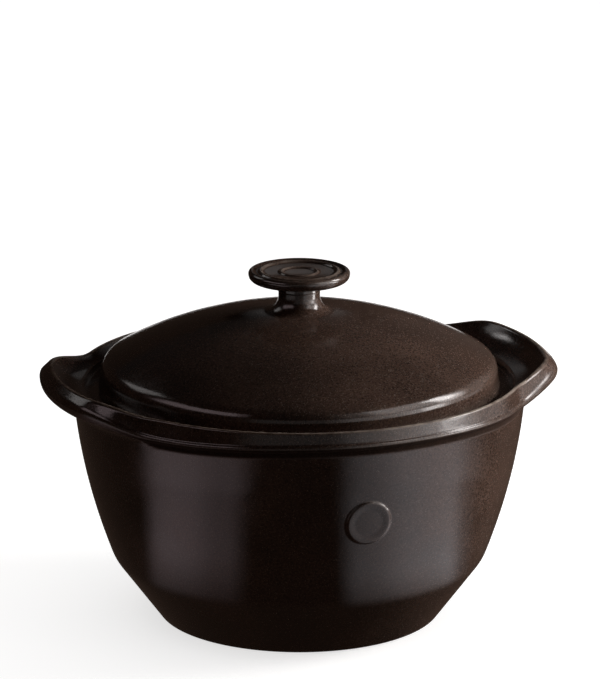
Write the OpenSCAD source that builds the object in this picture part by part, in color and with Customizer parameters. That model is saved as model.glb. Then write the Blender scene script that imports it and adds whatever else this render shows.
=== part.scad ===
// Round ceramic casserole with pulled ear handles, a lid that sits inside the rim and a mushroom knob.
// Millimetres, +Z up. The origin is the centre of the foot, on the table. The ears lie along X.

/* [Bowl] */
// Radius of the rim crest, away from the ears
rim_r = 125; // [116:0.5:140]
// Height of the rim crest above the table
rim_z = 139; // [125:0.5:165]
// Radius of the foot at its widest
foot_r = 80; // [68:0.5:88]
// Radius where the lower cone meets the wall
kink_r = 104.6; // [98:0.2:110]
// Height where the lower cone meets the wall
kink_z = 35; // [28:0.5:45]
// How far the wall swells past a straight line
wall_bulge = 3.6; // [0:0.1:6]
// Wall thickness, measured level
wall_t = 9; // [7:0.1:11]
// Thickness of the base
base_t = 8; // [6:0.1:11]
// Width of the unglazed ring that the pot stands on
foot_w = 12; // [7:0.5:18]
// Height of the hollow under the base
foot_hollow = 2.2; // [1:0.1:4]
// Radius of the foot's outer edge
foot_round = 2.2; // [1:0.1:3]
// Radius inside the pot, where the floor turns up
floor_round = 14; // [8:0.5:20]

/* [Rim band] */
// Height of the band, from the crest to its lower edge
band_h = 10.6; // [9.5:0.1:13]
// How far the wall's top lies outside the crest
wall_out = 1; // [0.4:0.1:1.8]
// How far the rolled lower edge stands out past the wall
roll_out = 1.3; // [0.9:0.1:2]
// Radius of the rolled lower edge
roll_r = 2.2; // [1.8:0.1:2.6]
// How far the rolled edge turns back over its top, in degrees
bead_turn = 48; // [20:1:60]
// Radius of the crest
lip_r = 1.3; // [0.9:0.1:1.8]
// Width of the slope from the crest in to the gallery
slope_w = 5.8; // [4.5:0.1:8]
// Drop of the slope from the crest to the gallery
slope_drop = 5; // [3:0.1:6]
// Depth of the ledge for the lid, below the crest
ledge_drop = 10; // [8.5:0.1:12]
// Width of the ledge for the lid
ledge_w = 11.2; // [9.5:0.1:13]

/* [Ears] */
// How far an ear is pulled outwards
ear_out = 15.6; // [6:0.1:22]
// How far an ear is pulled upwards
ear_up = 5.75; // [1:0.05:10]
// Extra lean of the ear's outer face
ear_lean = 1.6; // [0:0.1:3]
// How much rounder the outer face is on an ear
ear_fat = 3.2; // [0:0.1:3.4]
// How much deeper the band is on an ear
ear_deep = 1.9; // [0:0.1:3]
// How much rounder the crest is on an ear
ear_soft = 1.2; // [0:0.1:1.6]
// How hollow the scoop on top of an ear is
ear_scoop = 1.6; // [0:0.1:3]
// How far the band's lower edge runs down the wall at an ear
ear_root = 2.6; // [0.5:0.1:8]
// Half angle that is pulled out fully
ear_flat = 15.5; // [8:0.5:22]
// Half angle where the pull ends
ear_end = 36; // [30:0.5:46]
// Half angle where the band's lower edge starts to rise again
root_flat = 30; // [10:1:45]
// Half angle where the band's lower edge is level
root_end = 80; // [55:1:88]

/* [Lid] */
// Gap between the lid's flange and the gallery wall
lid_gap = 7.4; // [2:0.1:8.5]
// Gap between the lid's seat and the ledge
seat_gap = 0.3; // [0.1:0.05:0.6]
// Gap between the locating skirt and the ledge's inner edge
skirt_gap = 1.4; // [0.6:0.1:2.5]
// Depth of the locating skirt below the seat
skirt_h = 7; // [4:0.1:12]
// Thickness of the lid
lid_t = 6.2; // [5:0.1:8]
// How far the flange stands out past the lid's edge
flange_out = 1.2; // [0.8:0.1:4]
// Height of the flange
flange_h = 3; // [2:0.1:4.5]
// Height of the lid's edge, up to where it would meet the dome
edge_h = 15; // [13:0.1:19]
// Radius of the dome
dome_r = 222; // [190:1:300]
// Radius of the shoulder between dome and edge
shoulder_r = 9; // [5:0.1:11]

/* [Knob] */
// Radius of the stem
stem_r = 11.6; // [9:0.1:14]
// Radius of the flare from the dome up to the stem
flare_r = 12.4; // [6:0.1:14]
// Length of the stem above the flare
stem_h = 5; // [4.5:0.1:12]
// Radius of the disc
disc_r = 28.3; // [24:0.1:34]
// Thickness of the disc
disc_t = 6.4; // [5.5:0.1:8]
// Radius of the fillet under the disc
under_r = 3; // [1.5:0.1:4]
// Radius of the raised ring on top
ring_r = 21.5; // [16:0.1:22]
// Width of the raised ring
ring_w = 3.2; // [2:0.1:4]
// Height of the raised ring over the groove
ring_h = 1; // [0.3:0.1:1.3]
// Radius of the smaller ring in the middle of the top
mid_ring_r = 10; // [6:0.1:11]
// Radius of the spigot that locates the knob
spigot_r = 6; // [4:0.1:7.5]
// Length of the spigot
spigot_h = 7.5; // [4:0.1:9]
// Gap around and under the spigot
spigot_gap = 0.15; // [0.1:0.05:0.3]

/* [Medallion] */
// Radius of the blank medallion on the wall
medal_r = 12.8; // [8:0.1:16]
// Height of its centre above the table
medal_z = 86; // [70:0.5:100]
// How far its border stands out of the wall
medal_h = 0.9; // [0.5:0.1:1.4]
// Width of its border
medal_border = 2.6; // [1.5:0.1:4]
// How far its field lies below the border
medal_sink = 0.5; // [0.2:0.05:0.7]

/* [Hidden] */
$fn = 120;
// Steps round the rim
rim_steps = 150;
// Steps in each rounding of the rim
arc_steps = 4;
// How deep joined pieces reach into each other
bite = 3;

wall_top_z = rim_z - band_h;
wall_top_r = rim_r + wall_out;
gallery_r = rim_r - slope_w;
ledge_z = rim_z - ledge_drop;
ledge_in_r = gallery_r - ledge_w;
floor_z = foot_hollow + base_t;

seat_z = ledge_z + seat_gap;
flange_r = gallery_r - lid_gap;
edge_r = flange_r - flange_out;
skirt_r = ledge_in_r - skirt_gap;
dome_z = seat_z + edge_h - sqrt(dome_r * dome_r - edge_r * edge_r);
apex_z = dome_z + dome_r;
// Centre of the shoulder rounding, inside the dome and the edge
shoulder_z = dome_z + sqrt(pow(dome_r - shoulder_r, 2) - pow(edge_r - shoulder_r, 2));
// Centre of the flare, outside the dome and the stem
flare_z = dome_z + sqrt(pow(dome_r + flare_r, 2) - pow(stem_r + flare_r, 2));
inner_r = dome_r - lid_t;
skirt_in_r = skirt_r - lid_t + 2;

disc_z = flare_z + stem_h;
disc_top = disc_z + disc_t;

// A point at a distance and an angle from a centre
function polar(c, r, a) = [c[0] + r * cos(a), c[1] + r * sin(a)];

// Points of an arc, from one angle to another
function arc(c, r, a, b, n) = [for (i = [0 : n]) polar(c, r, a + (b - a) * i / n)];

// Direction from one point to another
function bearing(p, q) = atan2(q[1] - p[1], q[0] - p[0]);

// Where round a first circle the line lies that touches it and a second circle from outside
function touch_a(c, r, d, s) = bearing(c, d) + acos(max(-0.98, (r - s) / norm(d - c)));

// A full pull of 1 up to one angle, which fades to 0 at a second angle
function fade(a, flat, end) = a <= flat ? 1 : a >= end ? 0 : (1 + cos(180 * (a - flat) / (end - flat))) / 2;

// Radius of the outer wall at a height
function wall_part(z) = (z - kink_z) / (wall_top_z - kink_z);
function wall_r(z) = kink_r + (wall_top_r - kink_r) * wall_part(z)
    + 4 * wall_bulge * wall_part(z) * (1 - wall_part(z));

// Angle from the nearer ear's middle
function ear_angle(a) = abs((a + 90) - 180 * floor((a + 90) / 180) - 90);

// Section of the rim at one angle: rolled edge, recessed face, crest, slope and gallery wall.
// The last two points lie inside the bowl's wall.
function rim_section(a) =
    let (
        out = fade(ear_angle(a), ear_flat, ear_end),
        up = fade(ear_angle(a), ear_flat + 2.5, ear_end - 2.5),
        down = fade(ear_angle(a), root_flat, root_end) * ear_root,
        lip = lip_r + ear_soft * out,
        crest = [rim_r + ear_out * out - lip, rim_z + ear_up * up - lip],
        fat = roll_r + ear_fat * out,
        roll = [
            wall_top_r + roll_out - fat + (ear_out + ear_lean) * out,
            rim_z + ear_up * up - band_h - ear_deep * out + fat - down * (1 - out)
        ],
        root_z = wall_top_z - 1.8 - down,
        root = [wall_r(root_z) - bite, root_z],
        inner = [gallery_r + lip, rim_z - slope_drop - lip],
        under_a = touch_a(roll, fat, root, 0),
        bead_a = touch_a(crest, lip, roll, fat) + bead_turn * (1 - out),
        bead = polar(roll, fat, bead_a),
        face_a = touch_a(crest, lip, bead, 0),
        slope_a = bearing(crest, inner) + 270,
        slope_p = polar(crest, lip, slope_a),
        slope_q = polar(inner, lip, slope_a),
        dip = polar([0, 0], ear_scoop * out, slope_a)
    )
    concat(
        arc(roll, fat, under_a, bead_a, arc_steps + 2),
        arc(crest, lip, face_a, slope_a, arc_steps + 1),
        [for (s = [0.3, 0.7]) slope_p + (slope_q - slope_p) * s - dip],
        arc(inner, lip, slope_a, 180, arc_steps - 1),
        [[gallery_r, ledge_z - 2 * bite], root]
    );

// The rim is lofted through its sections, all the way round
module rim_loft() {
    rows = [for (i = [0 : rim_steps - 1]) rim_section(360 * i / rim_steps)];
    n = len(rows[0]);
    points = [
        for (i = [0 : rim_steps - 1])
            let (a = 360 * i / rim_steps)
            for (p = rows[i]) [p[0] * cos(a), p[0] * sin(a), p[1]]
    ];
    faces = [
        for (i = [0 : rim_steps - 1])
            let (k = (i + 1) % rim_steps)
            for (j = [0 : n - 1])
                let (m = (j + 1) % n)
                for (t = [[i * n + j, i * n + m, k * n + j], [i * n + m, k * n + m, k * n + j]]) t
    ];
    polyhedron(points = points, faces = faces, convexity = 6);
}

// Heights at which the wall is drawn
wall_cuts = [for (s = [0, 0.08, 0.2, 0.34, 0.5, 0.66, 0.82]) kink_z + s * (wall_top_z - kink_z)];

// The inside leaves an even wall below and a straight way out past the ledge
function inside_r(z) = min(ledge_in_r - 0.8 * (ledge_z - z) / (ledge_z - kink_z), wall_r(z) - wall_t);

module bowl_profile() {
    cone_a = atan2(kink_z - foot_round, kink_r - foot_r);
    // The inner cone runs beside the outer one, at the same level thickness as the wall
    in_kink = [inside_r(kink_z + 4), kink_z + 4];
    in_foot_r = in_kink[0] - (in_kink[1] - floor_z) / tan(cone_a);
    turn = floor_round * tan(cone_a / 2);
    turn_c = [in_foot_r - turn, floor_z + floor_round];
    in_cuts = [for (s = [0.12, 0.24, 0.38, 0.54, 0.72]) in_kink[1] + s * (ledge_z - in_kink[1])];
    hollow_r = foot_r - foot_round - foot_w;
    polygon(concat(
        [[0, foot_hollow], [hollow_r - 1.2 * foot_hollow, foot_hollow], [hollow_r, 0]],
        arc([foot_r - foot_round, foot_round], foot_round, -90, cone_a - 90 + 17, 5),
        [for (z = wall_cuts) [wall_r(z), z]],
        [[wall_r(ledge_z), ledge_z]],
        arc([ledge_in_r + lip_r, ledge_z - lip_r], lip_r, 90, 180, 3),
        [for (i = [len(in_cuts) - 1 : -1 : 0]) [inside_r(in_cuts[i]), in_cuts[i]]],
        [in_kink],
        [for (i = [5 : -1 : 0]) polar(turn_c, floor_round, -90 + cone_a * i / 5)],
        [[0, floor_z]]
    ));
}

// A shell that follows the wall, from a depth inside it to a height over it
module wall_shell(deep, high) {
    low = medal_z - 1.4 * medal_r;
    top = medal_z + 1.4 * medal_r;
    cuts = [for (i = [0 : 3]) low + i * (top - low) / 3];
    rotate_extrude()
        polygon(concat(
            [for (z = cuts) [wall_r(z) + high, z]],
            [for (i = [len(cuts) - 1 : -1 : 0]) [wall_r(cuts[i]) - deep, cuts[i]]]
        ));
}

module medal_cutter(r) {
    translate([0, -wall_r(medal_z) + 3 * bite, medal_z])
        rotate([90, 20, 0])
            cylinder(r = r, h = 6 * bite);
}

// A blank round medallion: a border and a lower field, both following the wall
module medallion() {
    difference() {
        intersection() {
            wall_shell(bite, medal_h);
            medal_cutter(medal_r);
        }
        intersection() {
            wall_shell(medal_sink - medal_h, bite);
            medal_cutter(medal_r - medal_border);
        }
    }
}

module pot() {
    color("#3a2a24")
    union() {
        rotate_extrude()
            bowl_profile();
        rim_loft();
        medallion();
    }
}

module lid() {
    dome_c = [0, dome_z];
    shoulder_c = [edge_r - shoulder_r, shoulder_z];
    flare_c = [stem_r + flare_r, flare_z];
    dome_a = bearing(dome_c, flare_c);
    dome_b = bearing(dome_c, shoulder_c);
    in_a = acos(skirt_in_r / inner_r);
    color("#45332b")
    rotate_extrude()
        polygon(concat(
            [[0, flare_z - spigot_h - spigot_gap], [spigot_r + spigot_gap, flare_z - spigot_h - spigot_gap]],
            [[spigot_r + spigot_gap, flare_z]],
            arc(flare_c, flare_r, 180, 180 + dome_a, 7),
            arc(dome_c, dome_r, dome_a, dome_b, 9),
            arc(shoulder_c, shoulder_r, dome_b, 0, 5),
            [[edge_r + 0.25 * flange_out, seat_z + 1.8 * flange_h]],
            [[flange_r, seat_z + flange_h], [flange_r, seat_z + 0.8], [flange_r - 0.8, seat_z]],
            [[skirt_r + 0.5, seat_z], [skirt_r, seat_z - 0.5], [skirt_r - 0.6, seat_z - skirt_h]],
            [[skirt_in_r + 0.8, seat_z - skirt_h], [skirt_in_r, seat_z - skirt_h + 0.8]],
            arc(dome_c, inner_r, in_a, 90, 9)
        ));
}

module knob() {
    low_r = 0.66 * disc_t;
    top_r = disc_t - low_r;
    edge_c = disc_r - low_r;
    edge_top = disc_r - top_r;
    belly_z = disc_z + low_r;
    groove_z = disc_top - ring_h;
    ring_out = ring_r + ring_w / 2;
    ring_in = ring_r - ring_w / 2;
    // The smaller ring has 0.8 of the outer ring's width and height
    mid_w = 0.8 * ring_w;
    mid_h = 0.8 * ring_h;
    mid_z = groove_z - 0.4;
    color("#2e211d")
    rotate_extrude()
        polygon(concat(
            [[0, flare_z - spigot_h], [spigot_r - 0.6, flare_z - spigot_h]],
            [[spigot_r, flare_z - spigot_h + 0.6], [spigot_r, flare_z], [stem_r, flare_z]],
            arc([stem_r + under_r, disc_z - under_r], under_r, 180, 90, 4),
            arc([edge_c, belly_z], low_r, -90, 0, 6),
            arc([edge_top, belly_z], top_r, 0, 90, 4),
            [[ring_out + 0.6, groove_z + 0.1]],
            [for (a = [0 : 30 : 180]) [ring_r + ring_w / 2 * cos(a), groove_z + ring_h * sin(a)]],
            [[ring_in - 0.6, groove_z - 0.1], [mid_ring_r + mid_w / 2 + 0.6, mid_z + 0.1]],
            [for (a = [0 : 30 : 180]) [mid_ring_r + mid_w / 2 * cos(a), mid_z + mid_h * sin(a)]],
            [[mid_ring_r - mid_w / 2 - 0.6, mid_z - 0.1], [0, mid_z - 0.2]]
        ));
}

pot();
lid();
knob();
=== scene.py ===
import math

import bpy
from bpy.props import FloatProperty, FloatVectorProperty, PointerProperty
from bpy.types import Operator, Panel, PropertyGroup
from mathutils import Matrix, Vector


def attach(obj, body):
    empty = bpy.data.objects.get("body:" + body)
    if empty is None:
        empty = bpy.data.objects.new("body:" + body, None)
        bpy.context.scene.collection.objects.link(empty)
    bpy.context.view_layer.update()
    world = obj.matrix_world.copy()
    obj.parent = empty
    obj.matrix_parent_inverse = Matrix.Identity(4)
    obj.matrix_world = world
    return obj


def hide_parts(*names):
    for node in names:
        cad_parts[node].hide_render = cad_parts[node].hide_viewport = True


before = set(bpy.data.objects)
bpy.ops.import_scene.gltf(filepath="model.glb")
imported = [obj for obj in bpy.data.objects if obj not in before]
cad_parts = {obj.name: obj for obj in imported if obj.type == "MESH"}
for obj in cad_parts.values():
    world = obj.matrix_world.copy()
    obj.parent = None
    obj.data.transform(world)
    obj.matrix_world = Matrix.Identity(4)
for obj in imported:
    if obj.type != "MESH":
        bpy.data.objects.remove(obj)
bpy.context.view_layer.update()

bl_info = {
    "name": "Ceramic casserole",
    "version": (1, 0, 0),
    "blender": (4, 5, 0),
    "location": "View3D > Sidebar > Casserole",
    "description": "Dresses a round ceramic casserole with a speckled dark glaze",
    "category": "Object",
}

# Height of the photograph and how far its middle lies beside the pot's, in pixels
IMAGE_H = 679
SHIFT_PX = 0.8

# Camera's sensor along the longer side of the picture, in millimetres
SENSOR = 36.0

# Meshes are worked out in millimetres and made in metres
MM = 1000.0

# How far the smooth rim lies inside the rim of the solids, so that it never stands out of them
RIM_INSET = 0.06

# Reach of small soft turns: foot ring, corner of the ledge, kink inside the pot, seat and skirt of the lid
FOOT_TURN = 0.8
LEDGE_TURN = 1.2
INSIDE_TURN = 5
SEAT_TURN = 0.8
SKIRT_TURN = 1.2

# How far the kink inside the pot lies above the one outside, and the wall above it closes in downwards
INSIDE_RISE = 4
INSIDE_DRAFT = 0.8

# How much thinner than the lid its skirt is
SKIRT_LESS = 2

# The underside of the band aims at a point this far below the wall's top and inside the wall
ROOT_DROP = 1.8
ROOT_IN = 3

# How far it blends into the wall, and how much further on an ear
UNDER_BLEND = 0.9
EAR_BLEND = 4

# An ear's rise changes within a span this many degrees narrower at each end than its pull outwards
RISE_INSET = 2.5

# Degrees over which the top of the bead runs into the face of the band
BEAD_SOFT = 16

# Radius of the glazed flare, as a share of the flare of the solids
FLARE_SHARE = 0.72

# Share of the knob's disc below its widest line, and the small ring on top as a share of the large one
BELLY_SHARE = 0.66
MID_RING_SHARE = 0.8

# How much lower than the large ring the small one lies
MID_RING_DROP = 0.4

# How far the soft edges of the medallion reach, inwards and outwards, and the close rows past it
BORDER_EDGE = (1.3, 0.4)
FIELD_EDGE = (3.2, 0.9)
MEDAL_MARGIN = 2

# Groove under the bead: its extra height, how strong the painted shade (dark colour, duller gloss) is in
# it,
# up to which distance from the bead fully, and where that ends
COVE_H = 1.9
BEAD_SHADE = 0.9
BEAD_SHADE_FULL = 2.2
BEAD_SHADE_END = 3.5

# Layers of a mesh that say how thin the glaze is (partly a painted highlight), where shade is painted under
# the bead, and how bare the clay, and inputs that they feed
LAYERS = ("thin_glaze_and_highlight", "bare_clay", "painted_bead_shade")
MASKS = ("Thin And Highlight Mask", "Bare Mask", "Painted Shade Mask")

# Colours of the glaze, which the settings hold under the same names
COLOURS = ("Ground", "Fleck", "Pit_and_shade", "Thin", "Clay")

# Sections round each piece. On the pot they stand closer at the medallion: its bearing and half its span
MEDAL_A = -90
MEDAL_HALF = 8
MEDAL_SECTIONS = 68
POT_SECTIONS = 230
LID_SECTIONS = 200
KNOB_SECTIONS = 144

# Specular level of the glaze, plain and where painted shade dims it under the bead
SPECULAR = 0.5
BEAD_SHADE_SPECULAR = 0.06


def length(name, text, default):
    return FloatProperty(name=name, description=text, default=default, unit="LENGTH", precision=5)


def angle(name, text, default):
    return FloatProperty(name=name, description=text, default=math.radians(default), subtype="ANGLE")


def factor(name, text, default):
    return FloatProperty(name=name, description=text, default=default, subtype="FACTOR", min=0, max=1)


def plain(name, text, default):
    return FloatProperty(name=name, description=text, default=default)


def colour(name, text, default):
    return FloatVectorProperty(name=name, description=text, default=default, subtype="COLOR",
                               size=3, min=0, max=1)


class PotSizes(PropertyGroup):
    """Sizes of the pot, as in the part's source, with a soft kink and a slightly deeper scoop."""

    rim_r: length("Rim radius", "Radius of the rim crest, away from the ears", 0.125)
    rim_z: length("Rim height", "Height of the rim crest above the table", 0.139)
    foot_r: length("Foot radius", "Radius of the foot at its widest", 0.080)
    kink_r: length("Kink radius", "Radius where the lower cone meets the wall", 0.1046)
    kink_z: length("Kink height", "Height where the lower cone meets the wall", 0.035)
    kink_soft: length("Kink softness", "How far the soft turn at the kink reaches each way", 0.0035)
    wall_bulge: length("Wall bulge", "How far the wall swells past a straight line", 0.0036)
    wall_t: length("Wall thickness", "Thickness of the wall, measured level", 0.009)
    base_t: length("Base thickness", "Thickness of the base", 0.008)
    foot_w: length("Foot width", "Width of the unglazed ring that the pot stands on", 0.012)
    foot_hollow: length("Foot hollow", "Height of the hollow under the base", 0.0022)
    foot_round: length("Foot edge", "Radius of the foot's outer edge", 0.0022)
    floor_round: length("Floor turn", "Radius inside the pot, where the floor turns up", 0.014)
    band_h: length("Band height", "Height of the rim band", 0.0106)
    wall_out: length("Wall top", "How far the wall's top lies outside the crest", 0.001)
    roll_out: length("Roll reach", "How far the rolled edge stands out past the wall", 0.0013)
    roll_r: length("Roll radius", "Radius of the rolled lower edge", 0.0022)
    bead_turn: angle("Bead turn", "How far the rolled edge turns back over its top", 48)
    lip_r: length("Lip radius", "Radius of the crest", 0.0013)
    slope_w: length("Slope width", "Width of the slope from the crest to the gallery", 0.0058)
    slope_drop: length("Slope drop", "Drop of the slope from the crest to the gallery", 0.005)
    ledge_drop: length("Ledge depth", "Depth of the lid's ledge below the crest", 0.010)
    ledge_w: length("Ledge width", "Width of the lid's ledge", 0.0112)
    ear_out: length("Ear reach", "How far an ear is pulled outwards", 0.0156)
    ear_up: length("Ear rise", "How far an ear is pulled upwards", 0.00575)
    ear_lean: length("Ear lean", "Extra lean of the ear's outer face", 0.0016)
    ear_fat: length("Ear roundness", "How much rounder the outer face is on an ear", 0.0032)
    ear_deep: length("Ear depth", "How much deeper the band is on an ear", 0.0019)
    ear_soft: length("Ear softness", "How much rounder the crest is on an ear", 0.0012)
    ear_scoop: length("Ear scoop", "How hollow the top of an ear is", 0.0019)
    ear_root: length("Ear root", "How far the band's lower edge runs down the wall at an ear", 0.0026)
    ear_flat: angle("Ear middle", "Half angle that is pulled out fully", 15.5)
    ear_end: angle("Ear end", "Half angle where the pull ends", 36)
    root_flat: angle("Root middle", "Half angle where the band's lower edge starts to rise again", 30)
    root_end: angle("Root end", "Half angle where the band's lower edge is level", 80)
    medal_r: length("Medallion radius", "Radius of the blank medallion", 0.0128)
    medal_z: length("Medallion height", "Height of the medallion's centre", 0.086)
    medal_h: length("Medallion border", "How far its border stands out of the wall", 0.0009)
    medal_border: length("Border width", "Width of the medallion's border", 0.0026)
    medal_sink: length("Field depth", "How far the field lies below the border", 0.0005)


class LidSizes(PropertyGroup):
    """Sizes of the lid and its knob, the same as in the part's source."""

    lid_gap: length("Lid gap", "Gap between the lid's flange and the gallery", 0.0074)
    seat_gap: length("Seat gap", "Gap between the lid's seat and the ledge", 0.0003)
    skirt_gap: length("Skirt gap", "Gap between the skirt and the ledge's inner edge", 0.0014)
    skirt_h: length("Skirt depth", "Depth of the locating skirt", 0.007)
    lid_t: length("Lid thickness", "Thickness of the lid", 0.0062)
    flange_out: length("Flange reach", "How far the flange stands out", 0.0012)
    flange_h: length("Flange height", "Height of the flange", 0.003)
    edge_h: length("Edge height", "Height of the lid's edge up to the dome", 0.015)
    dome_r: length("Dome radius", "Radius of the dome", 0.222)
    shoulder_r: length("Shoulder radius", "Rounding between dome and edge", 0.009)
    stem_r: length("Stem radius", "Radius of the knob's stem", 0.0116)
    flare_r: length("Flare radius", "Rounding from the dome up to the stem", 0.0124)
    stem_h: length("Stem length", "Length of the stem above the flare", 0.005)
    disc_r: length("Disc radius", "Radius of the knob's disc", 0.0283)
    disc_t: length("Disc thickness", "Thickness of the knob's disc", 0.0064)
    under_r: length("Under fillet", "Radius of the fillet under the disc", 0.003)
    ring_r: length("Ring radius", "Radius of the raised ring on top", 0.0215)
    ring_w: length("Ring width", "Width of the raised ring", 0.0032)
    ring_h: length("Ring height", "Height of the raised ring", 0.001)
    mid_ring_r: length("Small ring", "Radius of the smaller ring in the middle of the top", 0.010)
    spigot_r: length("Spigot radius", "Radius of the knob's spigot", 0.006)
    spigot_h: length("Spigot length", "Length of the knob's spigot", 0.0075)
    spigot_gap: length("Spigot gap", "Gap round and under the spigot", 0.00015)


class GlazeLook(PropertyGroup):
    """Colours and finish of the glaze."""

    ground: colour("Ground", "Dark brown of the glaze where it is thick", (0.070, 0.043, 0.033))
    fleck: colour("Fleck", "Pale flecks in the glaze", (0.300, 0.250, 0.225))
    # The pit colour is also the painted shade in the groove and on the lower side of the bead
    pit_and_shade: colour("Pit_and_shade", "Dark pin marks in the glaze", (0.014, 0.008, 0.006))
    # The thin glaze colour also stands as a painted highlight on the crest and on the knob's rings
    thin: colour("Thin glaze", "Paler brown where the glaze runs thin on edges", (0.520, 0.440, 0.380))
    clay: colour("Clay", "Bare fired clay under the foot and in the joint", (0.330, 0.235, 0.165))
    pot_rough: factor("Pot roughness", "Roughness of the glaze on the pot and lid", 0.15)
    knob_rough: factor("Knob roughness", "Roughness of the glaze on the knob", 0.10)


class StageLook(PropertyGroup):
    """Camera, lamp and even light."""

    azimuth: angle("Azimuth", "Angle of the camera to the left of the medallion", 18)
    elevation: angle("Elevation", "Angle of the camera above the table", 15.35)
    distance: length("Distance", "Distance of the camera", 2.224)
    look_z: length("Look height", "Height that the camera looks at", 0.1562)
    focal_px: plain("Focal length", "Focal length in pixels of the photograph", 4000)
    key: plain("Key", "Power of the lamp on the right, in watts", 9.2)
    ambient: plain("Ambient", "Strength of the even light from all round", 0.04)


# Points and curves in a section, as (radius, height) in millimetres
def polar(c, r, a):
    return (c[0] + r * math.cos(math.radians(a)), c[1] + r * math.sin(math.radians(a)))


def arc(c, r, a, b, n):
    return [polar(c, r, a + (b - a) * i / n) for i in range(n + 1)]


def bearing(p, q):
    return math.degrees(math.atan2(q[1] - p[1], q[0] - p[0]))


def span(p, q):
    return math.hypot(q[0] - p[0], q[1] - p[1])


def between(p, q, t):
    return (p[0] + (q[0] - p[0]) * t, p[1] + (q[1] - p[1]) * t)


def towards(p, q, d):
    return between(p, q, d / span(p, q))


def touch_a(c, r, d, s):
    """Where round a first circle the line lies that touches it and a second one from outside."""
    return bearing(c, d) + math.degrees(math.acos(max(-0.98, (r - s) / span(c, d))))


def straight(p, q, n):
    """Points between two points, without the ends."""
    return [between(p, q, i / n) for i in range(1, n)]


def turn(p, c, q, n):
    """A soft turn from p to q that is drawn to the corner c."""
    return [between(between(p, c, i / n), between(c, q, i / n), i / n) for i in range(n + 1)]


def soft_line(corners, n=5):
    """A line through corners (radius, height, reach), each softened over its reach."""
    points = [corners[0][:2]]
    for before, here, after in zip(corners, corners[1:], corners[2:]):
        c = here[:2]
        points += turn(towards(c, before[:2], here[2]), c, towards(c, after[:2], here[2]), n)
    points.append(corners[-1][:2])
    return points


def fade(a, flat, end):
    if a <= flat:
        return 1.0
    if a >= end:
        return 0.0
    return (1 + math.cos(math.pi * (a - flat) / (end - flat))) / 2


def step(x, low, high):
    t = min(1.0, max(0.0, (x - low) / (high - low)))
    return t * t * (3 - 2 * t)


def crown(most):
    """A value along n + 1 points that is greatest in the middle and 0 at both ends."""
    return lambda i, n: most * math.sin(math.pi * i / n)


class Sizes:
    """The settings in millimetres and degrees, with what follows from them."""

    def __init__(self, scene):
        for group in (scene.casserole_pot, scene.casserole_lid):
            for key in group.__annotations__:
                value = getattr(group, key)
                in_degrees = key in ("ear_flat", "ear_end", "root_flat", "root_end", "bead_turn")
                setattr(self, key, math.degrees(value) if in_degrees else value * MM)
        self.wall_top_z = self.rim_z - self.band_h
        self.wall_top_r = self.rim_r + self.wall_out
        self.gallery_r = self.rim_r - self.slope_w
        self.ledge_z = self.rim_z - self.ledge_drop
        self.ledge_in_r = self.gallery_r - self.ledge_w
        self.floor_z = self.foot_hollow + self.base_t
        self.seat_z = self.ledge_z + self.seat_gap
        self.flange_r = self.gallery_r - self.lid_gap
        self.edge_r = self.flange_r - self.flange_out
        self.skirt_r = self.ledge_in_r - self.skirt_gap
        self.skirt_in_r = self.skirt_r - self.lid_t + SKIRT_LESS
        self.inner_r = self.dome_r - self.lid_t
        dome_drop = math.sqrt(self.dome_r ** 2 - self.edge_r ** 2)
        self.dome_z = self.seat_z + self.edge_h - dome_drop
        reach = self.edge_r - self.shoulder_r
        self.shoulder_z = self.dome_z + math.sqrt((self.dome_r - self.shoulder_r) ** 2 - reach ** 2)
        reach = self.stem_r + self.flare_r
        self.flare_z = self.dome_z + math.sqrt((self.dome_r + self.flare_r) ** 2 - reach ** 2)
        self.disc_z = self.flare_z + self.stem_h
        self.disc_top = self.disc_z + self.disc_t

    def wall_r(self, z):
        """Radius of the outer wall at a height."""
        p = (z - self.kink_z) / (self.wall_top_z - self.kink_z)
        swell = 4 * self.wall_bulge * p * (1 - p)
        return self.kink_r + (self.wall_top_r - self.kink_r) * p + swell

    def inside_r(self, z):
        """Radius of the inside: an even wall below and a straight way out past the ledge."""
        way_out = self.ledge_in_r - INSIDE_DRAFT * (self.ledge_z - z) / (self.ledge_z - self.kink_z)
        return min(way_out, self.wall_r(z) - self.wall_t)

    def medal_rise(self, rho):
        """Height of the medallion over the wall at a distance from its centre."""
        border = 1 - step(rho, self.medal_r - BORDER_EDGE[0], self.medal_r + BORDER_EDGE[1])
        field_r = self.medal_r - self.medal_border
        field = 1 - step(rho, field_r - FIELD_EDGE[0], field_r + FIELD_EDGE[1])
        return self.medal_h * border - self.medal_sink * field


class Column:
    """One upright section of a piece, with how thin the glaze is (partly a painted highlight), where shade
    is painted and how bare the clay.
    """

    def __init__(self):
        self.points = []
        self.layers = {key: [] for key in LAYERS}

    def add(self, points, thin=0.0, bare=0.0, deep=0.0):
        n = max(1, len(points) - 1)
        for i, point in enumerate(points):
            self.points.append(point)
            for key, value in zip(LAYERS, (thin, bare, deep)):
                self.layers[key].append(value(i, n) if callable(value) else value)


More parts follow.
